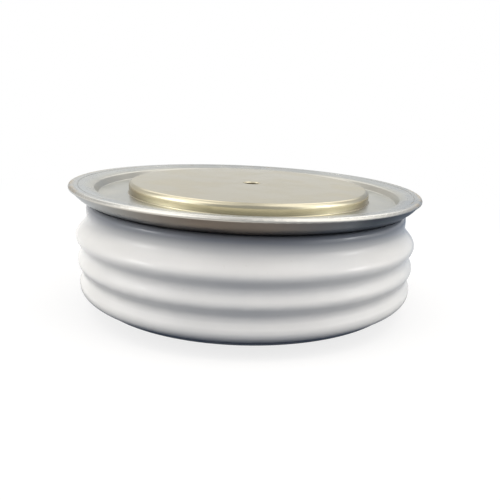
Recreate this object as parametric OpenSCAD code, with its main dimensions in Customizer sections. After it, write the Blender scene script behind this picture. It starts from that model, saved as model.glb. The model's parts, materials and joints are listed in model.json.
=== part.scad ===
/* [Capsule] */
// Distance between the two contact faces
capsule_h = 26; // [25:0.5:32]
// Outer diameter of the cathode rim, which all the other diameters follow
rim_d = 75; // [66:0.5:84]
// Width of the cathode rim, from its edge in to the dish
rim_w = 4.6; // [3.5:0.05:5.6]
// Width of the flat lip along the rim's edge
rim_lip_w = 0.75; // [0.7:0.05:1]
// Depth of the rim's inner edge below its lip
rim_dip = 0.55; // [0.2:0.05:1.2]
// Share of the welded edge's thickness that its upper rounding takes
rim_round_share = 0.75; // [0.4:0.05:0.8]
// Depth of the rim's top below the cathode contact face
rim_drop = 0.3; // [0.2:0.05:0.8]
// Thickness of the sheet-metal flanges
sheet_t = 0.4; // [0.3:0.05:0.5]
// Height of the weld ring, from the ceramic to the lid
weld_ring_h = 3.4; // [2.8:0.1:4]
// Steepest slope of the weld ring's wall, in degrees
weld_wall_angle = 55; // [45:1:65]
// Share of the weld ring's wall that is curved
weld_bend_share = 0.85; // [0.5:0.05:0.9]
// Width of the flat lip where the weld ring meets the lid
seam_w = 0.45; // [0.4:0.05:1]
// Run of the slope between the lid's floor and its rim
dish_run = 0.8; // [0.8:0.1:2.5]
// Height of the lower flange above the anode contact face
anode_rim_rise = 2.1; // [1.5:0.1:2.3]
// How far the lower flange stands out past the ceramic's foot
anode_lip = 0.35; // [0:0.05:0.5]

/* [Ceramic] */
// Distance from the rim's edge in to the ribs
rib_inset = 0.55; // [0.2:0.05:1.5]
// Thickness of the ceramic at the ribs
ceramic_wall = 7.95; // [7:0.05:9]
// Depth of the neck below the ribs
neck_inset = 2.4; // [1.5:0.05:2.8]
// Radius on the ceramic's upper shoulder
shoulder_r = 1.2; // [0.5:0.1:1.6]
// Height of the flare from the neck to the first rib
flare_h = 3.9; // [2.5:0.1:4.8]
// Number of ribs
rib_n = 3; // [2:1:4]
// Depth of the valleys between the ribs
rib_depth = 0.9; // [0.4:0.1:1.6]
// Distance from the ceramic's top to the middle of the first rib
first_rib_drop = 6.5; // [6.4:0.1:7.6]
// Distance from the ceramic's bottom to the middle of the last rib
last_rib_rise = 2.85; // [2.5:0.05:4]
// How far the foot tapers in below the last rib
foot_inset = 3.2; // [1.5:0.1:3.5]
// How long the foot stays full before it turns in, as a power
foot_fullness = 2.7; // [1.5:0.1:3.5]

/* [Poles] */
// Distance from the ceramic's bore in to the edge of both contact faces
pole_gap = 3; // [2.8:0.1:4]
// Height of a pole's head, from its contact face to its shoulder
pole_head_h = 2.35; // [2.3:0.05:3]
// Width of the shoulder that a flange is brazed to
pole_step = 0.8; // [0.5:0.1:1.2]
// Radius on the edge of both contact faces
pole_edge_r = 1; // [0.3:0.05:1.2]
// Radius of the braze at the foot of a pole's head
braze_r = 0.25; // [0.1:0.05:0.4]
// Height of the cathode pole; the anode pole takes what the tablet leaves
cathode_pole_h = 12; // [10.6:0.2:13.6]
// Diameter of the centre hole in both contact faces
centre_hole_d = 3.5; // [3:0.1:4]
// Depth of the centre hole in both contact faces
centre_hole_h = 2.5; // [1.5:0.1:3]
// Chamfer at the mouth of the centre holes
centre_hole_chamfer = 0.25; // [0.1:0.05:0.4]

/* [Tablet] */
// Wall of the plastic ring outside the tablet
holder_wall = 1.9; // [1.6:0.1:2.3]
// Thickness of the molybdenum disc under the wafer
anode_disc_t = 2; // [1.5:0.1:2.5]
// Distance from the lower disc's edge in to the wafer's edge
wafer_inset = 0.6; // [0.3:0.1:1]
// Thickness of the wafer
wafer_t = 0.6; // [0.3:0.05:0.8]
// Width of the bevel round the wafer
wafer_bevel = 0.8; // [0.3:0.1:1.2]
// Distance from the pole's side in to the edge of the disc on top of the wafer
cathode_disc_inset = 1.4; // [1:0.1:2.4]
// Thickness of the molybdenum disc on top of the wafer
cathode_disc_t = 1; // [0.8:0.1:1.4]
// Hole for the gate in the upper molybdenum disc
gate_hole_d = 4; // [3.6:0.1:5]
// Width of the rubber ring outside the lower disc
edge_ring_w = 0.8; // [0.5:0.1:1.2]
// How far the rubber ring reaches down the lower disc
edge_ring_drop = 1; // [0.4:0.1:1.4]
// Height of the ring that centres the cathode pole
pole_ring_h = 3; // [2:0.1:5]

/* [Gate] */
// Diameter of the gate pocket in the cathode pole
gate_pocket_d = 9; // [8.6:0.1:11]
// Diameter of the gate lead
gate_lead_d = 0.7; // [0.5:0.05:0.8]
// Wall of the sleeve on the gate lead
gate_sleeve_wall = 0.4; // [0.3:0.05:0.45]
// Bend radius of the gate lead
gate_lead_bend = 1.2; // [0.9:0.1:1.4]
// Play at each side of the sleeve in its slot
gate_slot_gap = 0.3; // [0.1:0.05:0.5]
// Diameter of the gate pin's shank
gate_pin_d = 1.8; // [1.2:0.1:2]
// Gap between the gate pin's hub and the cup
gate_hub_gap = 0.5; // [0.3:0.1:0.8]
// Height of the hub's middle, as a share of the height from the upper disc to the gate tube
gate_hub_share = 0.45; // [0.42:0.01:0.48]
// Height of the hub, as a share of the same height
gate_hub_h_share = 0.34; // [0.3:0.01:0.36]
// Thickness of the guide bush's flange, as a share of the same height
gate_bush_share = 0.15; // [0.1:0.01:0.18]
// Wall of the insulating cup
gate_cup_wall = 0.9; // [0.6:0.05:1]
// Thickness of the insulating cup's roof
gate_cup_roof = 0.8; // [0.6:0.05:1]
// Thickness of the washer above the spring
gate_washer_t = 0.3; // [0.2:0.05:0.4]
// Height of the spring between the hub and the washer
gate_spring_h = 3; // [2.7:0.1:3.8]
// Diameter of the spring's wire
spring_wire_d = 0.45; // [0.3:0.05:0.5]
// Mean diameter of the spring
spring_d = 4.2; // [3.8:0.1:5]
// Turns of the spring
spring_turns = 4; // [3:1:5]

/* [Terminals] */
// Outer diameter of the gate tube
gate_tube_d = 3; // [2.6:0.1:3.6]
// Wall of the gate tube
gate_tube_wall = 0.4; // [0.3:0.05:0.5]
// Distance of the gate tube below the ceramic's top
gate_tube_drop = 3.2; // [3:0.1:3.4]
// Width of the gate tube's collar round the tube
gate_collar_w = 0.7; // [0.5:0.05:1]
// Thickness of the gate tube's collar
gate_collar_t = 0.4; // [0.3:0.05:0.6]
// Depth of the flat on the ceramic that the collar sits on
gate_flat_depth = 0.4; // [0.35:0.05:0.8]
// Length of the solder plug in the gate tube
gate_seal_len = 1.5; // [1:0.1:3]
// Width of the gate blade
gate_blade_w = 2.8; // [2.5:0.1:4.8]
// Width of the auxiliary cathode blade
aux_blade_w = 4.8; // [2.8:0.1:6.3]
// Thickness of both blades
blade_t = 0.8; // [0.5:0.1:1]
// Length of both blades
blade_len = 6.5; // [5:0.5:9]
// Diameter of the detent hole in both blades
detent_d = 1.2; // [0.8:0.1:1.6]
// Width of the gate terminal's foot
gate_foot_w = 4.6; // [4.4:0.1:6]
// Distance from the gate tube down to the gate blade
gate_blade_drop = 2.6; // [2.4:0.1:3.4]
// Gap between the ribs and the gate terminal
gate_foot_gap = 0.7; // [0.4:0.1:2]
// Length of the auxiliary terminal's foot below its weld
aux_foot_len = 1.3; // [0.8:0.1:1.6]
// Slope of the auxiliary terminal's foot, in degrees
aux_foot_angle = 45; // [35:1:50]
// Angle between the two terminals round the capsule
terminal_angle = 30; // [20:1:90]

/* [Fits] */
// Clearance of metal pieces in their seats
seat_gap = 0.05; // [0.02:0.01:0.08]
// Clearance of the plastic rings and bushes
ring_gap = 0.15; // [0.1:0.01:0.2]

/* [Hidden] */
$fn = 96;

// How finely the curved outlines are drawn
arc_steps = 6;
bend_steps = 8;
rib_steps = 12;
// Length added to a cutter so that it runs clear of what it cuts
over = 1;
// Small edge breaks
ceramic_chamfer = 0.4;
body_chamfer = 0.5;
disc_chamfer = 0.15;
tip_chamfer = 0.6;

// Radii, from the rim inwards
rim_r = rim_d / 2;
rib_r = rim_r - rib_inset;
neck_r = rib_r - neck_inset;
foot_r = rib_r - foot_inset;
bore_r = rib_r - ceramic_wall;
pole_r = bore_r - pole_gap;
body_r = pole_r - pole_step;
flange_bore_r = body_r + seat_gap;
ring_bore_r = body_r + ring_gap;
ring_r = bore_r - ring_gap;
edge_ring_r = ring_r - holder_wall - ring_gap;
anode_disc_r = edge_ring_r - edge_ring_w;
wafer_r = anode_disc_r - wafer_inset;
wafer_top_r = wafer_r - wafer_bevel;
cathode_disc_r = body_r - cathode_disc_inset;

// Heights of the capsule, from the anode contact face
lid_top_z = capsule_h - rim_drop;
lid_rim_z = lid_top_z - sheet_t;
lid_floor_z = capsule_h - pole_head_h;
ceramic_top_z = lid_rim_z - weld_ring_h;
ceramic_foot_z = anode_rim_rise + sheet_t;
first_rib_z = ceramic_top_z - first_rib_drop;
last_rib_z = ceramic_foot_z + last_rib_rise;
rib_pitch = (first_rib_z - last_rib_z) / (rib_n - 1);

// Heights of the tablet
cathode_pole_z = capsule_h - cathode_pole_h;
cathode_disc_z = cathode_pole_z - cathode_disc_t;
wafer_z = cathode_disc_z - wafer_t;
anode_pole_h = wafer_z - anode_disc_t;

// Rim of the lid, whose edge is welded to the ring below it
rim_lip_r = rim_r - rim_lip_w;
weld_edge_z = lid_rim_z - sheet_t;
edge_top_r = rim_round_share * 2 * sheet_t;
edge_foot_r = 2 * sheet_t - edge_top_r;

// Dish of the lid and of the lower flange
dish_outer_r = rim_r - rim_w;
dish_floor_r = dish_outer_r - dish_run;
dish_bend_r = 0.5;
braze_seat_w = 0.6;
anode_dish_outer_r = bore_r - braze_seat_w;
anode_dish_floor_r = anode_dish_outer_r - dish_run;
// Line that was pressed into the rim when the lid was set for welding
seam_line_r = rim_r - 1.8;
seam_line_z = lid_top_z - rim_dip * (rim_lip_r - seam_line_r) / (rim_lip_r - dish_outer_r);
seam_line_depth = 0.1;

// Weld ring
weld_lip_r = rim_r - seam_w;
weld_wall_h = weld_ring_h - sheet_t;
weld_knee_r = weld_lip_r - weld_wall_h / tan(weld_wall_angle);
weld_bend_r = weld_bend_share * weld_wall_h / sin(weld_wall_angle) / tan(weld_wall_angle / 2);
weld_lip_bend_r = 0.3;

// Gate
gate_pin_r = gate_pin_d / 2;
gate_lead_r = gate_lead_d / 2;
gate_sleeve_bore_r = gate_lead_r + seat_gap;
gate_sleeve_r = gate_sleeve_bore_r + gate_sleeve_wall;
gate_slot_w = 2 * (gate_sleeve_r + gate_slot_gap);
gate_pocket_r = gate_pocket_d / 2;
gate_cup_r = gate_pocket_r - 2 * seat_gap;
gate_cup_bore_r = gate_cup_r - gate_cup_wall;
gate_hub_r = gate_cup_bore_r - gate_hub_gap;
gate_tube_r = gate_tube_d / 2;
gate_tube_bore_r = gate_tube_r - gate_tube_wall;
gate_collar_r = gate_tube_r + gate_collar_w;
gate_tube_z = ceramic_top_z - gate_tube_drop;
gate_stack_h = gate_tube_z - cathode_pole_z;
gate_bush_t = gate_stack_h * gate_bush_share;
gate_hub_h = gate_stack_h * gate_hub_h_share;
gate_hub_z = cathode_pole_z + gate_stack_h * gate_hub_share;
gate_hub_top_z = gate_hub_z + gate_hub_h / 2;
gate_washer_z = gate_hub_top_z + gate_spring_h;
gate_cup_roof_z = gate_washer_z + gate_washer_t;
gate_pocket_top_z = gate_cup_roof_z + gate_cup_roof;
gate_pocket_h = gate_pocket_top_z - cathode_pole_z;
gate_notch_z = gate_hub_z + gate_sleeve_r + gate_slot_gap;
lead_rise = gate_tube_z - gate_hub_z;
lead_bend_r = min(gate_lead_bend, lead_rise / 2);
lead_leg_y = (body_r + bore_r) / 2;
lead_start_y = gate_hub_r - 1.6;
sleeve_start_y = gate_cup_bore_r + ring_gap;
gate_flat_y = neck_r - gate_flat_depth;
gate_foot_y = rib_r + gate_foot_gap;
gate_tube_start_y = bore_r - ring_gap;
gate_tube_end_y = gate_foot_y + blade_t + 0.5;

// Terminals
terminal_bend_r = blade_t;
gate_blade_z = gate_tube_z - gate_blade_drop;
gate_foot_top_z = gate_tube_z + gate_foot_w / 2;

function ease(u) = (1 - cos(180 * u)) / 2;
function arc(x, y, r, a0, a1) =
    [for (i = [0:arc_steps]) let (a = a0 + (a1 - a0) * i / arc_steps) [x + r * cos(a), y + r * sin(a)]];

// A bent sheet is drawn from its middle line: each point carries the heading of the sheet there
function heading(a, b) = atan2(b[1] - a[1], b[0] - a[0]);
function corner(a, b, c, r) =
    let (
        h0 = heading(a, b),
        turn = heading(b, c) - h0,
        side = sign(turn),
        start = b - r * abs(tan(turn / 2)) * [cos(h0), sin(h0)],
        centre = start + side * r * [-sin(h0), cos(h0)]
    )
    [
        for (i = [0:bend_steps])
        let (h = h0 + turn * i / bend_steps)
        [centre[0] + side * r * sin(h), centre[1] - side * r * cos(h), h]
    ];
function bent_line(p, radii) =
    let (last = len(p) - 1)
    concat(
        [[p[0][0], p[0][1], heading(p[0], p[1])]],
        [for (k = [1:last - 1]) each corner(p[k - 1], p[k], p[k + 1], radii[k - 1])],
        [[p[last][0], p[last][1], heading(p[last - 1], p[last])]]
    );
function beside(line, d) = [for (q = line) [q[0] - d * sin(q[2]), q[1] + d * cos(q[2])]];
function backwards(p) = [for (i = [len(p) - 1:-1:0]) p[i]];
function sheet_outline(line, t) = concat(beside(line, t / 2), backwards(beside(line, -t / 2)));

// Outside of the ceramic, from its top edge down to its foot
function ceramic_side() = concat(
    arc(neck_r - shoulder_r, ceramic_top_z - shoulder_r, shoulder_r, 90, 0),
    [
        for (i = [0:rib_steps])
        let (u = i / rib_steps)
        [neck_r + neck_inset * ease(u), first_rib_z + flare_h * (1 - u)]
    ],
    [
        for (i = [1:rib_steps * (rib_n - 1)])
        let (u = i / rib_steps)
        [rib_r - rib_depth * ease(2 * u), first_rib_z - rib_pitch * u]
    ],
    [
        for (i = [1:rib_steps])
        let (u = i / rib_steps)
        [rib_r - foot_inset * pow(u, foot_fullness), last_rib_z - last_rib_rise * u]
    ]
);

// Middle lines of the formed flanges
lid_line = bent_line([
    [flange_bore_r, lid_floor_z - sheet_t / 2],
    [dish_floor_r, lid_floor_z - sheet_t / 2],
    [dish_outer_r, lid_rim_z + sheet_t / 2 - rim_dip],
    [rim_lip_r, lid_rim_z + sheet_t / 2],
    [rim_r, lid_rim_z + sheet_t / 2]
], [dish_bend_r, dish_bend_r, dish_bend_r]);
anode_flange_line = bent_line([
    [flange_bore_r, pole_head_h + sheet_t / 2],
    [anode_dish_floor_r, pole_head_h + sheet_t / 2],
    [anode_dish_outer_r, anode_rim_rise + sheet_t / 2],
    [foot_r + anode_lip, anode_rim_rise + sheet_t / 2]
], [dish_bend_r, dish_bend_r]);
weld_ring_line = bent_line([
    [bore_r + braze_seat_w, ceramic_top_z + sheet_t / 2],
    [weld_knee_r, ceramic_top_z + sheet_t / 2],
    [weld_lip_r, lid_rim_z - sheet_t / 2],
    [rim_r, lid_rim_z - sheet_t / 2]
], [weld_bend_r, weld_lip_bend_r]);

// Where the auxiliary terminal's foot touches the weld ring's wall
wall_start_r = weld_knee_r - weld_bend_r * tan(weld_wall_angle / 2);
wall_out_r = weld_bend_r + sheet_t / 2;
aux_touch = [
    wall_start_r + wall_out_r * sin(aux_foot_angle),
    ceramic_top_z + wall_out_r * (1 - cos(aux_foot_angle))
];
aux_along = [cos(aux_foot_angle), sin(aux_foot_angle)];
aux_middle = aux_touch + (blade_t / 2 + seat_gap) * [sin(aux_foot_angle), -cos(aux_foot_angle)];
aux_blade_z = lid_rim_z - sheet_t - seat_gap - blade_t / 2;
aux_knee = aux_middle + aux_along * (aux_blade_z - aux_middle[1]) / aux_along[1];

// Turns a shape that was drawn along +Z so that it runs along +Y at height z
module along_y(z) {
    translate([0, 0, z]) rotate([-90, 0, 0]) children();
}

// Draws an outline of Y and Z, and gives it the width w across X
module across_x(w) {
    translate([-w / 2, 0, 0]) rotate([90, 0, 90]) linear_extrude(height = w) children();
}

// Block from y0 to y1 and from z0 to z1, centred on X
module bar_x(w, y0, y1, z0, z1) {
    translate([-w / 2, y0, z0]) cube([w, y1 - y0, z1 - z0]);
}

module tube(r_in, r_out, z0, z1) {
    difference() {
        translate([0, 0, z0]) cylinder(r = r_out, h = z1 - z0);
        translate([0, 0, z0 - over]) cylinder(r = r_in, h = z1 - z0 + 2 * over);
    }
}

module disc(r, z0, t) {
    rotate_extrude() polygon([
        [0, z0], [r - disc_chamfer, z0], [r, z0 + disc_chamfer], [r, z0 + t - disc_chamfer],
        [r - disc_chamfer, z0 + t], [0, z0 + t]
    ]);
}

// A pole of height h, with its contact face at z = 0 and its body above it
module pole(h) {
    difference() {
        rotate_extrude() polygon(concat(
            [[0, 0]],
            arc(pole_r - pole_edge_r, pole_edge_r, pole_edge_r, -90, 0),
            arc(pole_r + braze_r, pole_head_h - braze_r, braze_r, 180, 90),
            [[body_r, pole_head_h], [body_r, h - body_chamfer], [body_r - body_chamfer, h], [0, h]]
        ));
        translate([0, 0, -over]) cylinder(d = centre_hole_d, h = centre_hole_h + over);
        translate([0, 0, -over]) cylinder(
            r1 = centre_hole_d / 2 + centre_hole_chamfer + over,
            r2 = centre_hole_d / 2,
            h = centre_hole_chamfer + over
        );
    }
}

// Ribbed ceramic ring, with the gate hole and the flat for the gate tube's collar
module ceramic_housing() {
    color("whitesmoke") difference() {
        rotate_extrude() polygon(concat(
            [[bore_r, ceramic_foot_z + ceramic_chamfer], [bore_r, ceramic_top_z - ceramic_chamfer]],
            [[bore_r + ceramic_chamfer, ceramic_top_z]],
            ceramic_side(),
            [[bore_r + ceramic_chamfer, ceramic_foot_z]]
        ));
        along_y(gate_tube_z) cylinder(r = gate_tube_r + seat_gap, h = rib_r + over);
        along_y(gate_tube_z) translate([0, 0, gate_flat_y])
            cylinder(r = gate_collar_r + ring_gap, h = rib_r);
    }
}

module cathode_pole() {
    color("tan") difference() {
        translate([0, 0, capsule_h]) mirror([0, 0, 1]) pole(cathode_pole_h);
        translate([0, 0, cathode_pole_z - over]) cylinder(r = gate_pocket_r, h = gate_pocket_h + over);
        bar_x(gate_slot_w, 0, pole_r + over, cathode_pole_z - over, gate_notch_z);
    }
}

module anode_pole() {
    color("tan") pole(anode_pole_h);
}

// What the rounding of the welded edge takes off the lid and the weld ring
module edge_rounding() {
    translate([rim_r - edge_top_r, lid_top_z - edge_top_r]) difference() {
        square(edge_top_r + over);
        circle(r = edge_top_r);
    }
    translate([rim_r - edge_foot_r, weld_edge_z + edge_foot_r]) mirror([0, 1]) difference() {
        square(edge_foot_r + over);
        circle(r = edge_foot_r);
    }
}

// Dished lid ring between the upper pole and the rim
module cathode_flange() {
    color("silver") difference() {
        rotate_extrude() difference() {
            polygon(sheet_outline(lid_line, sheet_t));
            edge_rounding();
        }
        rotate_extrude() translate([seam_line_r, seam_line_z]) circle(r = seam_line_depth, $fn = 16);
    }
}

module cathode_weld_ring() {
    color("dimgray") rotate_extrude() difference() {
        polygon(sheet_outline(weld_ring_line, sheet_t));
        edge_rounding();
    }
}

module anode_flange() {
    color("dimgray") rotate_extrude() polygon(sheet_outline(anode_flange_line, sheet_t));
}

module anode_molybdenum_disc() {
    color("gray") disc(anode_disc_r, anode_pole_h, anode_disc_t);
}

module silicon_wafer() {
    color("darkslategray") rotate_extrude() polygon([
        [0, wafer_z], [wafer_r, wafer_z], [wafer_top_r, cathode_disc_z], [0, cathode_disc_z]
    ]);
}

// Rubber cast round the wafer's bevel, with a lip that centres the upper disc
module wafer_edge_ring() {
    lip_top_z = cathode_pole_z - ring_gap;
    color("firebrick") rotate_extrude() polygon([
        [anode_disc_r, wafer_z - edge_ring_drop], [edge_ring_r, wafer_z - edge_ring_drop],
        [edge_ring_r, lip_top_z], [cathode_disc_r + ring_gap, lip_top_z],
        [cathode_disc_r + ring_gap, cathode_disc_z], [wafer_top_r, cathode_disc_z],
        [wafer_r, wafer_z], [anode_disc_r, wafer_z]
    ]);
}

module cathode_molybdenum_disc() {
    color("gray") difference() {
        disc(cathode_disc_r, cathode_disc_z, cathode_disc_t);
        translate([0, 0, cathode_disc_z - over]) cylinder(d = gate_hole_d, h = cathode_disc_t + 2 * over);
    }
}

// Stands on the lower flange and holds the tablet on its step
module wafer_locating_ring() {
    stand_z = pole_head_h + sheet_t;
    step_r = edge_ring_r + ring_gap;
    color("ivory") rotate_extrude() polygon([
        [ring_bore_r, stand_z], [ring_r, stand_z], [ring_r, cathode_pole_z],
        [step_r, cathode_pole_z], [step_r, anode_pole_h], [ring_bore_r, anode_pole_h]
    ]);
}

// Stands on the lower ring, with a gap where the gate lead passes
module pole_locating_ring() {
    color("ivory") difference() {
        tube(ring_bore_r, ring_r, cathode_pole_z, cathode_pole_z + pole_ring_h);
        bar_x(gate_slot_w, 0, bore_r, cathode_pole_z - over, cathode_pole_z + pole_ring_h + over);
    }
}

// Pin with a fine tip on the wafer, a hub that takes the lead, and a stub inside the spring
module gate_contact_pin() {
    tip_h = 0.5;
    stub_r = spring_d / 2 - spring_wire_d / 2 - 2 * ring_gap;
    stub_top_z = (gate_hub_top_z + gate_washer_z) / 2;
    hub_z0 = gate_hub_top_z - gate_hub_h;
    color("gold") difference() {
        rotate_extrude() polygon([
            [0, cathode_disc_z], [gate_pin_r / 2, cathode_disc_z], [gate_pin_r, cathode_disc_z + tip_h],
            [gate_pin_r, hub_z0], [gate_hub_r, hub_z0], [gate_hub_r, gate_hub_top_z],
            [stub_r, gate_hub_top_z], [stub_r, stub_top_z], [0, stub_top_z]
        ]);
        along_y(gate_hub_z) translate([0, 0, lead_start_y])
            cylinder(r = gate_lead_r + seat_gap, h = gate_hub_r);
    }
}

module gate_guide_bush() {
    flange_r = gate_cup_bore_r - ring_gap;
    barrel_r = gate_hole_d / 2 - seat_gap;
    color("ivory") difference() {
        union() {
            translate([0, 0, cathode_pole_z]) cylinder(r = flange_r, h = gate_bush_t);
            translate([0, 0, cathode_disc_z + ring_gap])
                cylinder(r = barrel_r, h = cathode_disc_t + gate_bush_t - ring_gap);
        }
        translate([0, 0, cathode_disc_z]) cylinder(
            r = gate_pin_r + seat_gap,
            h = cathode_disc_t + gate_bush_t + over
        );
    }
}

// Coil spring with a closed turn at each end
spring_sides = 8;
spring_rings = 24;
spring_close = spring_wire_d * 1.04;
spring_h = gate_spring_h - spring_wire_d;
spring_pitch = (spring_h - 2 * spring_close) / (spring_turns - 2);
function spring_height(t) =
    t < 1 ? spring_close * t
    : t > spring_turns - 1 ? spring_h - spring_close * (spring_turns - t)
    : spring_close + spring_pitch * (t - 1);
function spring_ring(t) = [
    for (k = [0:spring_sides - 1])
    let (
        a = 360 * t,
        b = 360 * k / spring_sides,
        r = spring_d / 2 + spring_wire_d / 2 * cos(b)
    )
    [r * cos(a), r * sin(a), spring_height(t) + spring_wire_d / 2 * sin(b)]
];

module gate_spring() {
    last = spring_turns * spring_rings;
    n = spring_sides;
    points = [for (i = [0:last]) each spring_ring(i / spring_rings)];
    side_faces = [
        for (i = [0:last - 1], k = [0:n - 1])
        let (k2 = (k + 1) % n)
        each [
            [i * n + k, (i + 1) * n + k, i * n + k2],
            [i * n + k2, (i + 1) * n + k, (i + 1) * n + k2]
        ]
    ];
    start_face = [for (k = [0:n - 1]) k];
    end_face = [for (k = [n - 1:-1:0]) last * n + k];
    color("lightsteelblue") translate([0, 0, gate_hub_top_z + spring_wire_d / 2])
        polyhedron(points = points, faces = concat(side_faces, [start_face], [end_face]));
}

module gate_spring_washer() {
    color("lightsteelblue")
        tube(gate_pin_r, spring_d / 2 + spring_wire_d + ring_gap, gate_washer_z, gate_cup_roof_z);
}

module gate_insulating_cup() {
    cup_z = cathode_pole_z + gate_bush_t + ring_gap;
    color("ivory") difference() {
        translate([0, 0, cup_z]) cylinder(r = gate_cup_r, h = gate_pocket_top_z - cup_z);
        translate([0, 0, cup_z - over]) cylinder(r = gate_cup_bore_r, h = gate_cup_roof_z - cup_z + over);
        bar_x(gate_slot_w, 0, gate_pocket_d, cup_z - over, gate_notch_z);
    }
}

// Route of the gate lead: out along the slot, up beside the pole, and out through the ceramic
module lead_route(r, y0, y1) {
    along_y(gate_hub_z) translate([0, 0, y0]) cylinder(r = r, h = lead_leg_y - lead_bend_r - y0);
    translate([0, lead_leg_y - lead_bend_r, gate_hub_z + lead_bend_r]) rotate([90, 0, 90])
        rotate([0, 0, -90]) rotate_extrude(angle = 90) translate([lead_bend_r, 0]) circle(r = r);
    translate([0, lead_leg_y, gate_hub_z + lead_bend_r]) cylinder(r = r, h = lead_rise - 2 * lead_bend_r);
    translate([0, lead_leg_y + lead_bend_r, gate_tube_z - lead_bend_r]) rotate([90, 0, 90])
        rotate([0, 0, 90]) rotate_extrude(angle = 90) translate([lead_bend_r, 0]) circle(r = r);
    along_y(gate_tube_z) translate([0, 0, lead_leg_y + lead_bend_r])
        cylinder(r = r, h = y1 - lead_leg_y - lead_bend_r);
}

module gate_lead() {
    color("silver") lead_route(gate_lead_r, lead_start_y, gate_tube_end_y);
}

module gate_lead_sleeve() {
    sleeve_end_y = gate_tube_start_y - ring_gap;
    color("white") difference() {
        lead_route(gate_sleeve_r, sleeve_start_y, sleeve_end_y);
        lead_route(gate_sleeve_bore_r, sleeve_start_y - over, sleeve_end_y + over);
    }
}

// Eyelet that is brazed in the ceramic's gate hole, with a collar on the outside
module gate_tube() {
    color("silver") along_y(gate_tube_z) difference() {
        union() {
            translate([0, 0, gate_tube_start_y])
                cylinder(r = gate_tube_r, h = gate_tube_end_y - gate_tube_start_y);
            translate([0, 0, gate_flat_y]) cylinder(r = gate_collar_r, h = gate_collar_t);
        }
        translate([0, 0, gate_tube_start_y - over])
            cylinder(r = gate_tube_bore_r, h = gate_tube_end_y - gate_tube_start_y + 2 * over);
    }
}

module gate_tube_seal() {
    color("lightgray") along_y(gate_tube_z) tube(
        gate_lead_r + seat_gap / 2, gate_tube_bore_r - seat_gap / 2,
        gate_tube_end_y - gate_seal_len, gate_tube_end_y
    );
}

// Plan of a push-on blade that grows out of a wider foot
module blade_plan(foot_w, blade_w, y0, y1, tip_y) {
    taper = (foot_w - blade_w) / 2;
    polygon([
        [-foot_w / 2, y0], [foot_w / 2, y0], [foot_w / 2, y1], [blade_w / 2, y1 + taper],
        [blade_w / 2, tip_y - tip_chamfer], [blade_w / 2 - tip_chamfer, tip_y],
        [tip_chamfer - blade_w / 2, tip_y], [-blade_w / 2, tip_y - tip_chamfer],
        [-blade_w / 2, y1 + taper], [-foot_w / 2, y1]
    ]);
}

// Blade for a 2.8 mm receptacle, folded out of a foot that sits on the gate tube
module gate_terminal() {
    foot_mid_y = gate_foot_y + blade_t / 2;
    tip_y = gate_foot_y + blade_t + blade_len;
    side = bent_line(
        [[foot_mid_y, gate_foot_top_z], [foot_mid_y, gate_blade_z], [tip_y, gate_blade_z]],
        [terminal_bend_r]
    );
    color("gainsboro") difference() {
        intersection() {
            across_x(gate_foot_w) polygon(sheet_outline(side, blade_t));
            linear_extrude(height = capsule_h)
                blade_plan(gate_foot_w, gate_blade_w, bore_r, gate_foot_y + 1.5 * blade_t, tip_y);
        }
        along_y(gate_tube_z) cylinder(r = gate_tube_r + seat_gap, h = gate_tube_end_y);
        translate([0, tip_y - blade_len / 2, 0]) cylinder(d = detent_d, h = gate_tube_z);
    }
}

// Blade for a 4.8 mm receptacle, with a sloping foot that is welded to the weld ring's wall
module auxiliary_cathode_terminal() {
    tip_y = rim_r + blade_len;
    foot_end = aux_middle - aux_along * aux_foot_len;
    foot_w = aux_blade_w + 2 * tip_chamfer;
    side = bent_line([foot_end, aux_knee, [tip_y, aux_blade_z]], [terminal_bend_r]);
    color("gainsboro") rotate([0, 0, terminal_angle]) difference() {
        intersection() {
            across_x(foot_w) polygon(sheet_outline(side, blade_t));
            linear_extrude(height = capsule_h) blade_plan(foot_w, aux_blade_w, bore_r, rim_r, tip_y);
        }
        translate([0, tip_y - blade_len / 2, 0]) cylinder(d = detent_d, h = capsule_h);
    }
}

ceramic_housing();
cathode_pole();
anode_pole();
cathode_flange();
cathode_weld_ring();
anode_flange();
anode_molybdenum_disc();
silicon_wafer();
wafer_edge_ring();
cathode_molybdenum_disc();
wafer_locating_ring();
pole_locating_ring();
gate_contact_pin();
gate_guide_bush();
gate_spring();
gate_spring_washer();
gate_insulating_cup();
gate_lead();
gate_lead_sleeve();
gate_tube();
gate_tube_seal();
gate_terminal();
auxiliary_cathode_terminal();
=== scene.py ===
"""Looks of a press-pack thyristor: finishes, smooth shading, white studio and camera."""

import json
import math

import bmesh
import bpy
from mathutils import Matrix, Vector


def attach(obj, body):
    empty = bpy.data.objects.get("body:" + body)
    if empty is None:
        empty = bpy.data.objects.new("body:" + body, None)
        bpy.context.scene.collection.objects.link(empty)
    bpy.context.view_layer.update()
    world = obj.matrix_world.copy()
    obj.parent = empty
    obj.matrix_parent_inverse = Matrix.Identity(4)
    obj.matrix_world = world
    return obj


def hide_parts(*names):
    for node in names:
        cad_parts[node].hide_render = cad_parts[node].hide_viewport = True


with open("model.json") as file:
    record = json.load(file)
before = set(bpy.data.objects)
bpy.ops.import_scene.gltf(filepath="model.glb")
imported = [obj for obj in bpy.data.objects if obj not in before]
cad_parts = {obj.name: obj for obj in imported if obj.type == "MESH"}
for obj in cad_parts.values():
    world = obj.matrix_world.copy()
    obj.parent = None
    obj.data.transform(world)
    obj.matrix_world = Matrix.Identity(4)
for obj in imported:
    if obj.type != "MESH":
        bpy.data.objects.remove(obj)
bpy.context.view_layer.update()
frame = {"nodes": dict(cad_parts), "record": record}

MM = 0.001

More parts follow.
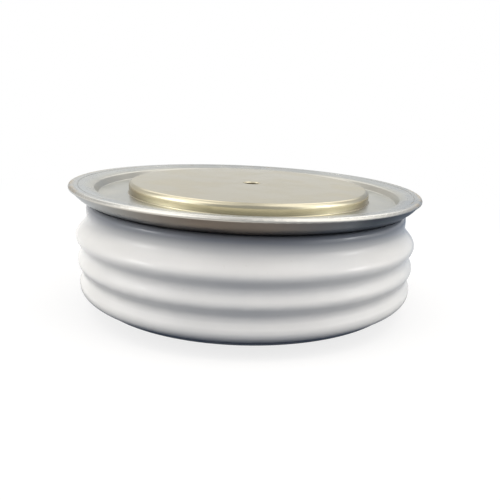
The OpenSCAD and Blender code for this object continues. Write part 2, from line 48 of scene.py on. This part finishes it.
# Heights and radii on the capsule
MID_HEIGHT = 13 * MM
RIM_TOP = 25.7 * MM
BEAD_R = 36.9 * MM  # of the rim's rounded edge
SEAM_LINE_R = 35.7 * MM  # of the line where the lid is welded
WELD_EDGE = 24.9 * MM  # underside of the weld ring's lip
POLE_SHOULDER = 23.65 * MM  # underside of the pole's head, where the lid is brazed
CERAMIC_TOP = 21.9 * MM
CERAMIC_FOOT = 2.5 * MM

# Colours are linear red, green and blue
BLACK = (0.0, 0.0, 0.0)
WHITE = (1.0, 1.0, 1.0)
# A paler edge: partly rubbed wear, partly a painted highlight along the rim's edge
RUBBED_EDGE_AND_HIGHLIGHT = (0.62, 0.59, 0.53)


# Shader building


def spaced(values):
    """Keyword arguments under the names of their sockets, which have spaces."""
    return {name.replace("_", " "): value for name, value in values.items()}


class Shader:
    """A node tree with short calls for the nodes that the finishes use."""

    # Both inputs and the output of a Mix node, by its kind of data
    MIX_SOCKETS = {"FLOAT": (2, 3, 0), "RGBA": (6, 7, 2)}

    def __init__(self, tree):
        self.tree = tree

    def node(self, kind, inputs=None, **settings):
        made = self.tree.nodes.new(kind)
        for name, value in settings.items():
            setattr(made, name, value)
        for name, value in (inputs or {}).items():
            self.feed(made.inputs[name], value)
        return made

    def feed(self, socket, value):
        """Links a socket to another node's output, or gives it a number, vector or colour."""
        if isinstance(value, bpy.types.NodeSocket):
            self.tree.links.new(value, socket)
        else:
            socket.default_value = (*value, 1.0) if socket.type == "RGBA" else value

    def parts(self, vector):
        """The X, Y and Z of a vector."""
        return self.node("ShaderNodeSeparateXYZ", {"Vector": vector}).outputs

    def math(self, operation, a, b=0.0, c=0.0):
        return self.node("ShaderNodeMath", {0: a, 1: b, 2: c}, operation=operation).outputs[0]

    def plus(self, a, b):
        return self.math("ADD", a, b)

    def times(self, a, b):
        return self.math("MULTIPLY", a, b)

    def apart(self, a, b):
        """The distance between two numbers."""
        return self.math("ABSOLUTE", self.math("SUBTRACT", a, b))

    def span(self, value, low, high, to_low=0.0, to_high=1.0):
        """Maps low..high onto to_low..to_high, smoothly and held at both ends."""
        ends = {"From Min": low, "From Max": high, "To Min": to_low, "To Max": to_high}
        made = self.node(
            "ShaderNodeMapRange", {"Value": value, **ends}, interpolation_type="SMOOTHSTEP"
        )
        return made.outputs["Result"]

    def fade(self, value, low, high):
        """1 up to low and 0 from high on."""
        return self.span(value, low, high, 1.0, 0.0)

    def noise(self, vector, per_metre, detail=3.0, roughness=0.55):
        """Noise around a half, with so many cells per metre."""
        inputs = {"Vector": vector, "Scale": per_metre, "Detail": detail, "Roughness": roughness}
        return self.node("ShaderNodeTexNoise", inputs).outputs["Fac"]

    def noise_of(self, vector, size, **settings):
        """Noise with cells of a size that another node gives."""
        return self.noise(vector, self.math("DIVIDE", 1.0, size), **settings)

    def mix(self, share, a, b, kind="RGBA"):
        """a where share is 0, b where it is 1."""
        first, second, result = self.MIX_SOCKETS[kind]
        made = self.node("ShaderNodeMix", {0: share, first: a, second: b}, data_type=kind)
        return made.outputs[result]

    def bump(self, height, strength=0.2, distance=0.02 * MM):
        inputs = {"Height": height, "Strength": strength, "Distance": distance}
        return self.node("ShaderNodeBump", inputs).outputs["Normal"]


def new_group(name, numbers, masks):
    """An empty node group that takes a position and some numbers, and gives some masks."""
    tree = bpy.data.node_groups.new(name, "ShaderNodeTree")
    tree.interface.new_socket("Position", in_out="INPUT", socket_type="NodeSocketVector")
    for direction, labels in (("INPUT", numbers), ("OUTPUT", masks)):
        for label in labels:
            tree.interface.new_socket(label, in_out=direction, socket_type="NodeSocketFloat")
    shader = Shader(tree)
    return shader, shader.node("NodeGroupInput").outputs, shader.node("NodeGroupOutput").inputs


def mottle_group():
    """Cloudy patches over fine grain: plating, glaze and moulded surfaces are never even."""
    numbers = ["Patch Size", "Grain Size", "Grain Share"]
    s, given, out = new_group("Mottle", numbers, ["Grain", "Both"])
    patches = s.span(s.noise_of(given["Position"], given["Patch Size"]), 0.3, 0.7)
    grain = s.noise_of(given["Position"], given["Grain Size"], detail=2.0)
    s.feed(out["Grain"], grain)
    s.feed(out["Both"], s.mix(given["Grain Share"], patches, grain, "FLOAT"))
    return s.tree


def turned_group():
    """Rings left by a lathe tool or a spinning brush, and the radius round the capsule's axis."""
    s, given, out = new_group("Turned Rings", ["Ring Width"], ["Rings", "Radius"])
    place = s.parts(given["Position"])
    squares = [s.math("POWER", place[axis], 2.0) for axis in "XY"]
    radius = s.math("SQRT", s.plus(*squares))
    along = s.node("ShaderNodeCombineXYZ", {"X": radius, "Y": place["Z"]}).outputs[0]
    fine = s.noise_of(along, given["Ring Width"], detail=4.0, roughness=0.7)
    waver = s.math("MULTIPLY_ADD", s.noise(given["Position"], 260.0, detail=1.0), 0.3, 0.85)
    s.feed(out["Rings"], s.times(fine, waver))
    s.feed(out["Radius"], radius)
    return s.tree


def scratch_group():
    """Fine straight scratches in two directions, as handling leaves on a lapped face."""
    s, given, out = new_group("Scratches", ["Length", "Amount"], ["Scratches"])
    squeeze = (1.0, 26.0, 1.0)
    lines = []
    for degrees in (24.0, 101.0):
        turn = (0.0, 0.0, math.radians(degrees))
        inputs = {"Vector": given["Position"], "Rotation": turn, "Scale": squeeze}
        turned = s.node("ShaderNodeMapping", inputs).outputs[0]
        field = s.noise_of(turned, given["Length"], detail=5.0, roughness=0.72)
        lines.append(s.span(field, 0.63, 0.72))
    s.feed(out["Scratches"], s.times(s.math("MAXIMUM", *lines), given["Amount"]))
    return s.tree


def dust_group():
    """Dust and handling marks, mostly on what faces up."""
    s, given, out = new_group("Dust", ["Amount"], ["Dust"])
    upward = s.parts(s.node("ShaderNodeNewGeometry").outputs["Normal"])["Z"]
    facing_up = s.span(upward, 0.1, 0.95, 0.25, 1.0)
    specks = s.span(s.noise(given["Position"], 2400.0, detail=2.0), 0.66, 0.74)
    haze = s.span(s.noise(given["Position"], 110.0, detail=4.0), 0.38, 0.75, 0.0, 0.6)
    both = s.times(s.math("MAXIMUM", specks, haze), facing_up)
    s.feed(out["Dust"], s.times(both, given["Amount"]))
    return s.tree


MOTTLE = mottle_group()
TURNED = turned_group()
SCRATCHES = scratch_group()
DUST = dust_group()


class Finish(Shader):
    """One material: its tree, its position on the object, and its Principled shader."""

    def __init__(self, name, **constants):
        self.material = bpy.data.materials.new(name)
        self.material.use_nodes = True
        super().__init__(self.material.node_tree)
        self.tree.nodes.clear()
        self.position = self.node("ShaderNodeTexCoord").outputs["Object"]
        self.body = self.node("ShaderNodeBsdfPrincipled", spaced(constants))
        self.end = self.node("ShaderNodeOutputMaterial", {"Surface": self.body.outputs[0]})

    def group(self, tree, **values):
        inputs = {"Position": self.position, **spaced(values)}
        return self.node("ShaderNodeGroup", inputs, node_tree=tree).outputs

    def mottled(self, mottle, low, high):
        """A roughness from low to high that follows the mottle."""
        return self.span(mottle["Both"], 0.2, 0.8, low, high)

    def surface(self, colour, roughness, normal=None):
        self.feed(self.body.inputs["Base Color"], colour)
        self.feed(self.body.inputs["Roughness"], roughness)
        if normal is not None:
            self.feed(self.body.inputs["Normal"], normal)
        return self.material


def shade(colour, factor):
    return tuple(min(1.0, part * factor) for part in colour)


# Finishes


def plated_pole_finish():
    """Nickel-plated copper: lapped contact face with fine scratches; turned side with painted
    light.
    """
    face, scratched, dusty = (0.57, 0.51, 0.37), (0.68, 0.63, 0.54), (0.60, 0.57, 0.50)
    side_front, side_flanks_painted_highlight, side_ends_painted_shade = (0.71, 0.65, 0.46), (0.98, 0.90, 0.65), (0.58, 0.49, 0.34)
    braze_painted_shade = (0.20, 0.17, 0.12)
    f = Finish("plated_copper", Metallic=1.0, Anisotropic=0.2, Specular_Tint=(0.79, 0.80, 0.80))
    mottle = f.group(MOTTLE, Patch_Size=9 * MM, Grain_Size=0.25 * MM, Grain_Share=0.35)
    rings = f.group(TURNED, Ring_Width=0.12 * MM)["Rings"]
    marks = f.group(SCRATCHES, Length=7 * MM, Amount=0.5)["Scratches"]
    dust = f.group(DUST, Amount=0.16)["Dust"]
    place = f.parts(f.position)
    aside = f.math("ABSOLUTE", place["X"])

    # The side's tones across the view are painted light: a painted highlight on the flanks and
    # painted shade at both ends.
    side = f.mix(f.span(aside, 7 * MM, 15 * MM), side_front, side_flanks_painted_highlight)
    side = f.mix(f.span(aside, 18 * MM, 24 * MM), side, side_ends_painted_shade)
    on_side = f.fade(f.apart(place["Z"], MID_HEIGHT), 11.9 * MM, 12.9 * MM)
    colour = f.mix(on_side, face, side)
    # Painted shade at the wall's foot by the lid, which dims the braze fillet's reflection.
    by_lid = f.span(place["Z"], POLE_SHOULDER + 0.1 * MM, POLE_SHOULDER + 0.45 * MM, 0.5, 0.0)
    colour = f.mix(by_lid, colour, braze_painted_shade)
    colour = f.mix(mottle["Both"], f.mix(0.03, colour, BLACK), colour)
    colour = f.mix(f.times(marks, 0.12), colour, scratched)
    colour = f.mix(f.times(dust, 0.3), colour, dusty)

    rough = f.plus(f.mottled(mottle, 0.19, 0.25), f.times(dust, 0.2))
    relief = f.plus(f.times(rings, 0.4), f.times(marks, -0.5))
    return f.surface(colour, rough, f.bump(relief, strength=0.12, distance=0.012 * MM))


def plated_lid_finish():
    """Nickel-plated sheet, brushed round the axis: weld tint by the seam, stains at both ends."""
    sheet, dish_painted_shade = (0.56, 0.535, 0.48), (0.46, 0.435, 0.365)
    weld_tint, dusty = (0.30, 0.21, 0.11), (0.62, 0.61, 0.58)
    f = Finish("plated_sheet", Metallic=1.0, Anisotropic=0.25, Specular_Tint=(0.77, 0.81, 0.85))
    mottle = f.group(MOTTLE, Patch_Size=7 * MM, Grain_Size=0.3 * MM, Grain_Share=0.3)
    turned = f.group(TURNED, Ring_Width=0.16 * MM)
    radius = turned["Radius"]
    dust = f.group(DUST, Amount=0.18)["Dust"]
    aside = f.math("ABSOLUTE", f.parts(f.position)["X"])

    dished = f.fade(radius, 33 * MM, 35 * MM)
    on_bead = f.span(radius, BEAD_R - 0.5 * MM, BEAD_R)
    colour = f.mix(mottle["Both"], shade(sheet, 0.94), shade(sheet, 1.04))
    # Painted shade in the dish: the sheet is darker and warmer there.
    colour = f.mix(f.times(dished, 0.5), colour, dish_painted_shade)
    colour = f.mix(on_bead, colour, RUBBED_EDGE_AND_HIGHLIGHT)

    by_seam = f.fade(f.apart(radius, SEAM_LINE_R), 0.1 * MM, 1.1 * MM)
    patches = f.span(f.noise(f.position, 520.0, detail=5.0, roughness=0.7), 0.57, 0.68)
    at_ends = f.times(f.span(aside, 27 * MM, 34 * MM), f.span(radius, 36.2 * MM, 37.0 * MM))
    stains = f.span(f.noise(f.position, 240.0, detail=4.0), 0.34, 0.54)
    tint = f.math("MAXIMUM", f.times(by_seam, patches), f.times(at_ends, stains))
    colour = f.mix(f.times(tint, 0.45), colour, weld_tint)
    colour = f.mix(f.times(dust, 0.35), colour, dusty)

    rough = f.plus(f.mottled(mottle, 0.18, 0.26), f.times(f.plus(tint, dust), 0.2))
    rough = f.math("MULTIPLY_ADD", dished, 0.10, rough)
    relief = f.plus(f.times(turned["Rings"], 0.5), f.times(tint, 0.1))
    return f.surface(colour, rough, f.bump(relief, strength=0.04, distance=0.012 * MM))


def weld_ring_finish():
    """Sheet with painted reflections, pale at the left, and painted shade nearly black at the
    right; bright edge.
    """
    pale, clouds = (0.39, 0.37, 0.33), (0.22, 0.20, 0.18)
    painted_reflections = {
        "brown": (-16 * MM, -2 * MM, (0.27, 0.22, 0.175)),
        "grey": (6 * MM, 24 * MM, (0.165, 0.175, 0.19)),
        "blue_black": (22 * MM, 29 * MM, (0.012, 0.022, 0.036)),
    }
    f = Finish("weld_ring_sheet", Metallic=1.0, Specular_Tint=(0.80, 0.85, 0.91))
    mottle = f.group(MOTTLE, Patch_Size=11 * MM, Grain_Size=0.35 * MM, Grain_Share=0.35)
    rings = f.group(TURNED, Ring_Width=0.2 * MM)["Rings"]
    place = f.parts(f.position)
    waver = f.noise(f.position, 55.0, detail=2.0)
    sideways = f.math("MULTIPLY_ADD", waver, 14 * MM, place["X"])

    # The colours across the ring are painted reflections, ending in painted shade at the right.
    colour = pale
    for start, end, reflected_colour in painted_reflections.values():
        colour = f.mix(f.span(sideways, start, end), colour, reflected_colour)
    colour = f.mix(f.times(mottle["Both"], 0.3), colour, clouds)
    # The ring's lip under the rim: rubbed, and a painted highlight that widens the rim's bright
    # edge.
    on_edge = f.span(place["Z"], WELD_EDGE, WELD_EDGE + 0.3 * MM)
    colour = f.mix(on_edge, colour, RUBBED_EDGE_AND_HIGHLIGHT)
    return f.surface(colour, f.mottled(mottle, 0.28, 0.40), f.bump(rings))


def lower_flange_finish():
    """The lower flange's sheet in dark blue-grey, as painted shade under the capsule."""
    dark_blue, light_blue = (0.075, 0.095, 0.130), (0.130, 0.145, 0.170)
    f = Finish("lower_flange_sheet", Metallic=1.0)
    mottle = f.group(MOTTLE, Patch_Size=8 * MM, Grain_Size=0.3 * MM, Grain_Share=0.35)
    rings = f.group(TURNED, Ring_Width=0.2 * MM)["Rings"]
    colour = f.mix(mottle["Both"], dark_blue, light_blue)
    return f.surface(colour, f.mottled(mottle, 0.28, 0.42), f.bump(rings))


def glazed_ceramic_finish():
    """White glazed alumina: orange peel, kiln specks, and shade under the rim and at the foot."""
    cool_white, warm_white = (0.80, 0.80, 0.79), (0.85, 0.845, 0.83)
    speck, dusty, shaded = (0.60, 0.57, 0.52), (0.70, 0.69, 0.66), (0.10, 0.12, 0.16)
    glaze_ior = 1.5
    f = Finish(
        "glazed_ceramic",
        IOR=glaze_ior, Coat_Weight=0.2, Coat_Roughness=0.06, Coat_IOR=glaze_ior,
    )
    mottle = f.group(MOTTLE, Patch_Size=14 * MM, Grain_Size=0.5 * MM, Grain_Share=0.2)
    dust = f.group(DUST, Amount=0.25)["Dust"]
    specks = f.span(f.noise(f.position, 1300.0, detail=1.0), 0.745, 0.775)
    colour = f.mix(mottle["Both"], cool_white, warm_white)
    colour = f.mix(f.times(specks, 0.15), colour, speck)
    colour = f.mix(f.times(dust, 0.3), colour, dusty)

    place = f.parts(f.position)
    aside = f.math("ABSOLUTE", place["X"])
    # Painted shade: the glaze is darker and bluer under the rim and at the foot.
    shade_end = f.span(aside, 14 * MM, 32 * MM, CERAMIC_TOP - 3.4 * MM, CERAMIC_TOP - 5.2 * MM)
    under_rim = f.span(place["Z"], shade_end, CERAMIC_TOP - 0.3 * MM, 0.0, 0.90)
    at_foot = f.span(place["Z"], CERAMIC_FOOT, CERAMIC_FOOT + 2.6 * MM, 0.92, 0.0)
    colour = f.mix(f.plus(under_rim, at_foot), colour, shaded)

    rough = f.plus(f.mottled(mottle, 0.13, 0.20), f.times(dust, 0.3))
    peel = f.noise(f.position, 420.0, detail=2.0, roughness=0.4)
    relief = f.math("SUBTRACT", peel, f.times(specks, 0.5))
    return f.surface(colour, rough, f.bump(relief, strength=0.10, distance=0.06 * MM))


def plain_metal_finish(name, colour, roughness, ring_width):
    """Small metal pieces: plated, drawn or soldered, with grain and light marks."""
    dusty = (0.6, 0.59, 0.56)
    f = Finish(name, Metallic=1.0)
    mottle = f.group(MOTTLE, Patch_Size=2.5 * MM, Grain_Size=0.15 * MM, Grain_Share=0.4)
    rings = f.group(TURNED, Ring_Width=ring_width)["Rings"]
    dust = f.group(DUST, Amount=0.25)["Dust"]
    mixed = f.mix(mottle["Both"], shade(colour, 0.9), shade(colour, 1.06))
    mixed = f.mix(f.times(dust, 0.3), mixed, dusty)
    rough = f.plus(f.mottled(mottle, *roughness), f.times(dust, 0.2))
    return f.surface(mixed, rough, f.bump(rings))


def plain_body_finish(name, colour, roughness, **constants):
    """Plastic, rubber and silicon: a body colour with faint clouds and moulded grain."""
    f = Finish(name, **constants)
    mottle = f.group(MOTTLE, Patch_Size=5 * MM, Grain_Size=0.2 * MM, Grain_Share=0.4)
    mixed = f.mix(mottle["Both"], shade(colour, 0.92), shade(colour, 1.05))
    relief = f.bump(mottle["Grain"], strength=0.15)
    return f.surface(mixed, f.mottled(mottle, *roughness), relief)


# Colour, roughness from smooth to dull, and the width of the drawing marks
PLAIN_METALS = {
    "molybdenum": ((0.40, 0.40, 0.41), (0.32, 0.45), 0.2 * MM),
    "silver_plate": ((0.78, 0.77, 0.74), (0.16, 0.26), 0.1 * MM),
    "spring_steel": ((0.46, 0.47, 0.49), (0.25, 0.36), 0.1 * MM),
    "solder": ((0.55, 0.55, 0.55), (0.3, 0.5), 0.4 * MM),
    "tinned_blade": ((0.66, 0.65, 0.62), (0.25, 0.38), 0.15 * MM),
}

finishes = {
    "plated_copper": plated_pole_finish(),
    "plated_sheet": plated_lid_finish(),
    "dark_plated_sheet": weld_ring_finish(),
    "lower_flange_sheet": lower_flange_finish(),
    "glazed_ceramic": glazed_ceramic_finish(),
    **{name: plain_metal_finish(name, *look) for name, look in PLAIN_METALS.items()},
    "silicon": plain_body_finish("silicon", (0.05, 0.06, 0.08), (0.12, 0.2), IOR=2.5),
    "silicone_rubber": plain_body_finish("silicone_rubber", (0.30, 0.05, 0.03), (0.45, 0.6)),
    "white_plastic": plain_body_finish("white_plastic", (0.80, 0.79, 0.76), (0.35, 0.5)),
}


# Pieces

CREASE = math.radians(28.0)
SEAM_GAP = 0.0002 * MM  # vertices as close as this are welded
RING_STEP = 0.002 * MM  # corners as close as this lie on the same ring
SLOPE_DIGITS = 2
LARGE_FACES_FIRST = 60  # 50 is neutral

# Bent sheets, whose shading is evened out round the axis
FORMED_RINGS = ("cathode_flange", "cathode_weld_ring", "anode_flange")

# Nodes that a smooth piece replaces: its name, its slot, and its finish if the slot has another
SHOWN = {
    "ceramic_housing": ("glazed_ceramic_ring", "glazed_ceramic"),
    "cathode_pole": ("cathode_contact_pole", "plated_copper"),
    "anode_pole": ("anode_contact_pole", "plated_copper"),
    "cathode_flange": ("dished_lid_ring", "plated_sheet"),
    "cathode_weld_ring": ("formed_weld_ring", "dark_plated_sheet"),
    "anode_flange": ("lower_flange_ring", "dark_plated_sheet", "lower_flange_sheet"),
    "gate_tube": ("brazed_gate_tube", "plated_sheet"),
    "gate_tube_seal": ("solder_seal", "solder"),
    "gate_terminal": ("gate_blade", "tinned_blade"),
    "auxiliary_cathode_terminal": ("auxiliary_blade", "tinned_blade"),
}


def turned_normals(mesh):
    """Gives a formed ring the same shading all round its axis, however its triangles lie."""
    zero = Vector((0.0, 0.0))
    rings = {}
    for face in mesh.polygons:
        outward = face.center.xy.normalized()
        slope = Vector((face.normal.xy.dot(outward), face.normal.z)).normalized()
        kind = (round(slope.x, SLOPE_DIGITS), round(slope.y, SLOPE_DIGITS))
        for loop in face.loop_indices:
            place = mesh.vertices[mesh.loops[loop].vertex_index].co
            ring = (round(place.xy.length / RING_STEP), round(place.z / RING_STEP))
            corners, slopes = rings.setdefault(ring, ([], {}))
            corners.append((loop, place, kind))
            slopes[kind] = slopes.get(kind, zero) + slope * face.area
    normals = [None] * len(mesh.loops)
    for corners, slopes in rings.values():
        evened = {}
        for kind, own in slopes.items():
            close = [other for other in slopes.values() if own.angle(other, 0.0) < CREASE]
            evened[kind] = sum(close, zero).normalized()
        for loop, place, kind in corners:
            outward = place.xy.normalized() * evened[kind].x
            normals[loop] = (outward.x, outward.y, evened[kind].y)
    mesh.normals_split_custom_set(normals)


def smooth_piece(node_name, piece_name, slot, finish=None):
    """Shows a node with welded seams and soft shading; edges over the crease angle stay sharp."""
    mesh = bpy.data.meshes.new(piece_name)
    bm = bmesh.new()
    bm.from_mesh(frame["nodes"][node_name].data)
    bmesh.ops.remove_doubles(bm, verts=bm.verts, dist=SEAM_GAP)
    for face in bm.faces:
        face.smooth = True
    for edge in bm.edges:
        edge.smooth = len(edge.link_faces) == 2 and edge.calc_face_angle() < CREASE
    bm.to_mesh(mesh)
    bm.free()
    mesh.materials.append(finishes[finish or slot])
    piece = bpy.data.objects.new(piece_name, mesh)
    bpy.context.scene.collection.objects.link(piece)
    if node_name in FORMED_RINGS:
        turned_normals(mesh)
    else:
        weights = piece.modifiers.new("weighted_normals", "WEIGHTED_NORMAL")
        weights.keep_sharp = True
        weights.weight = LARGE_FACES_FIRST
    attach(piece, "root")
    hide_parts(node_name)


for node_name, piece in SHOWN.items():
    smooth_piece(node_name, *piece)

for entry in frame["record"]["subparts"]:
    if entry["node"] not in SHOWN:
        node = frame["nodes"][entry["node"]]
        node.data.materials.clear()
        node.data.materials.append(finishes[entry["material_slot"]])


# Studio

FLOOR_REACH = 3.0
FLOOR_LOW, FLOOR_HIGH = (0.90, 0.90, 0.90), (0.94, 0.94, 0.94)
FLOOR_BOUNCE = (0.07, 0.085, 0.11)

# The floor in mirrors, at the right and by the capsule
FLOOR_RIGHT = (0.30, 0.36, 0.45)
FLOOR_SHADE = (0.05, 0.07, 0.11)

# The sky between its soft areas, the colour of what the areas add, and the sweep in mirrors
SOFT_AMBIENT = (0.235, 0.25, 0.31)
SOFT_TINT = (1.28, 1.225, 1.105)
MIRROR_AMBIENT = (0.74, 0.76, 0.79)
SWEEP_LEFT = (0.80, 0.80, 0.80)
SWEEP_RIGHT = (0.60, 0.63, 0.69)

# Soft areas, placed alike at both sides: degrees from the front, degrees of height, then what
# each adds to the soft light, to mirrors at the left and to mirrors at the right
SKY_AREAS = {
    "beside_low": ((50, 100), (4, 43), 2.40, 0.90, 0.75),
    "beside_high": ((50, 125), (43, 62), 1.50, 1.15, 1.05),
    "front_low": ((-20, 38), (-90, 58), 0.0, -0.30, -0.30),
    "front_high": ((15, 60), (43, 62), 0.0, 0.45, 0.15),
    "behind_low": ((105, 181), (-90, 28), 0.65, 0.0, 0.0),
    "behind_high": ((140, 172), (25, 62), 0.45, 1.25, 1.35),
    "top_beside": ((30, 150), (62, 80), 2.20, 0.35, 1.0),
    "zenith": ((-1, 181), (80, 91), 1.30, 0.3, 0.3),
}
TURN_EDGE, HEIGHT_EDGE = 10.0, 7.0  # half of each soft edge, in degrees

# Tubes, one of each at both sides: height, length, width and power
TUBE_ASIDE, TUBE_FORWARD = 0.95, 0.22
TUBES = {"upper_tube": (0.55, 0.26, 0.035, 0.38), "lower_tube": (0.44, 0.20, 0.030, 0.25)}


def studio_white():
    """Pale floor: it glows where it is seen, less by the capsule, and gives a low cool bounce."""
    f = Finish("studio_white")
    path = f.node("ShaderNodeLightPath").outputs
    mirrored = path["Is Glossy Ray"]
    seen = f.math("MAXIMUM", path["Is Camera Ray"], mirrored)
    seen = f.math("MAXIMUM", seen, path["Is Transmission Ray"])
    away = f.node("ShaderNodeVectorMath", {0: f.position}, operation="LENGTH").outputs["Value"]
    at_right = f.span(f.parts(f.position)["X"], 10 * MM, 70 * MM)
    by_capsule = f.fade(away, 34 * MM, 56 * MM)

    glow_colour = f.mix(f.times(mirrored, at_right), WHITE, FLOOR_RIGHT)
    glow_colour = f.mix(f.times(mirrored, by_capsule), glow_colour, FLOOR_SHADE)
    glow = f.node("ShaderNodeEmission", {"Color": glow_colour, "Strength": 1.0}).outputs[0]
    share = f.times(seen, f.span(away, 45 * MM, 190 * MM, 0.78, 1.0))
    both = f.node("ShaderNodeMixShader", {0: share, 1: f.body.outputs[0], 2: glow}).outputs[0]
    f.feed(f.end.inputs["Surface"], both)

    pale = f.mix(f.noise(f.position, 30.0), FLOOR_LOW, FLOOR_HIGH)
    return f.surface(f.mix(seen, FLOOR_BOUNCE, pale), 0.9)


def studio_floor():
    """A wide plain floor at the height of the anode contact face."""
    mesh = bpy.data.meshes.new("studio_floor")
    signs = ((-1, -1), (1, -1), (1, 1), (-1, 1))
    corners = [(x * FLOOR_REACH, y * FLOOR_REACH, 0.0) for x, y in signs]
    mesh.from_pydata(corners, [], [(0, 1, 2, 3)])
    mesh.materials.append(studio_white())
    floor = bpy.data.objects.new("studio_floor", mesh)
    bpy.context.scene.collection.objects.link(floor)


def studio_sky():
    """World: white to the camera, soft areas round the capsule, a sweep behind in mirrors."""
    world = bpy.data.worlds.new("studio_sky")
    bpy.context.scene.world = world
    world.use_nodes = True
    s = Shader(world.node_tree)
    s.tree.nodes.clear()
    heading = s.parts(s.node("ShaderNodeTexCoord").outputs["Generated"])
    turn = s.math("DEGREES", s.math("ARCTAN2", heading["X"], s.times(heading["Y"], -1.0)))
    aside = s.math("ABSOLUTE", turn)
    height = s.math("DEGREES", s.math("ARCSINE", heading["Z"]))
    right = s.span(heading["X"], -0.05, 0.05)

    def within(value, low, high, edge):
        """1 between low and high, with soft ends."""
        above = s.span(value, low - edge, low + edge)
        below = s.fade(value, high - edge, high + edge)
        return s.times(above, below)

    def lit(ambient, level, tint):
        """The ambient colour and, on top, the tint at a level."""
        grey = s.node("ShaderNodeCombineXYZ", {axis: level for axis in "XYZ"}).outputs[0]
        inputs = {0: grey, 1: tint, 2: ambient}
        return s.node("ShaderNodeVectorMath", inputs, operation="MULTIPLY_ADD").outputs[0]

    soft_sum, mirror_sum = 0.0, 0.0
    for turns, heights, soft_level, left_level, right_level in SKY_AREAS.values():
        area = s.times(within(aside, *turns, TURN_EDGE), within(height, *heights, HEIGHT_EDGE))
        soft_sum = s.math("MULTIPLY_ADD", area, soft_level, soft_sum)
        mirror_level = s.span(right, 0.0, 1.0, left_level, right_level)
        mirror_sum = s.math("MULTIPLY_ADD", area, mirror_level, mirror_sum)
    soft = lit(SOFT_AMBIENT, soft_sum, SOFT_TINT)
    mirror = lit(MIRROR_AMBIENT, mirror_sum, WHITE)

    sweep_colour = s.mix(s.span(heading["X"], 0.15, 0.34), WHITE, SWEEP_RIGHT)
    sweep_colour = s.mix(s.fade(heading["X"], -0.40, -0.26), sweep_colour, SWEEP_LEFT)
    sweep = s.times(s.span(heading["Y"], 0.1, 0.6), s.fade(height, 18.0, 31.0))
    mirror = s.mix(sweep, mirror, sweep_colour)

    path = s.node("ShaderNodeLightPath").outputs
    colour = s.mix(path["Is Glossy Ray"], soft, mirror)
    seen = s.math("MAXIMUM", path["Is Camera Ray"], path["Is Transmission Ray"])
    colour = s.mix(seen, colour, WHITE)
    background = s.node("ShaderNodeBackground", {"Color": colour, "Strength": 1.0}).outputs[0]
    s.node("ShaderNodeOutputWorld", {"Surface": background})


def tube_lamp(name, place, length, width, power):
    """A narrow area lamp that faces the middle of the capsule."""
    lamp = bpy.data.lights.new(name, "AREA")
    lamp.shape = "RECTANGLE"
    lamp.size = length
    lamp.size_y = width
    lamp.energy = power
    tube = bpy.data.objects.new(name, lamp)
    tube.location = place
    aim = Vector((0.0, 0.0, MID_HEIGHT)) - Vector(place)
    tube.rotation_euler = aim.to_track_quat("-Z", "Y").to_euler()
    bpy.context.scene.collection.objects.link(tube)


studio_floor()
studio_sky()
for side, x in (("left", -TUBE_ASIDE), ("right", TUBE_ASIDE)):
    for name, (height, length, width, power) in TUBES.items():
        tube_lamp(f"{name}_{side}", (x, -TUBE_FORWARD, height), length, width, power)


# Camera

PICTURE_PX = 500.0
SENSOR_MM = 36.0


def photo_camera():
    """The photograph's view: near, low and slightly rolled, with the frame's off-centre crop."""
    distance = 123.112 * MM  # from the middle of the rim's top
    rise = math.radians(8.0546)
    roll = math.radians(2.6834)
    focal_px = 536.61
    aim_px = (-62.379, -122.915)  # of that middle, from the lens's axis
    shift = (-0.12, 0.12)

    eye = Vector((0.0, -distance * math.cos(rise), distance * math.sin(rise)))
    ahead = -eye.normalized()
    right = Vector((1.0, 0.0, 0.0))
    up = right.cross(ahead)
    yaw = Matrix.Rotation(math.atan2(aim_px[0], focal_px), 3, up)
    ahead, right = yaw @ ahead, yaw @ right
    pitch = Matrix.Rotation(math.atan2(aim_px[1], focal_px), 3, right)
    ahead, up = pitch @ ahead, pitch @ up
    right, up = (
        right * math.cos(roll) + up * math.sin(roll),
        up * math.cos(roll) - right * math.sin(roll),
    )

    data = bpy.data.cameras.new("photo_camera")
    data.sensor_width = SENSOR_MM
    data.lens = focal_px / PICTURE_PX * SENSOR_MM
    data.shift_x, data.shift_y = shift
    data.clip_start = 1 * MM
    camera = bpy.data.objects.new("photo_camera", data)
    columns = Matrix((right, up, -ahead)).transposed().to_4x4()
    camera.matrix_world = Matrix.Translation(eye + Vector((0.0, 0.0, RIM_TOP))) @ columns
    bpy.context.scene.collection.objects.link(camera)
    bpy.context.scene.camera = camera


photo_camera()
bpy.context.scene.view_settings.view_transform = "Standard"
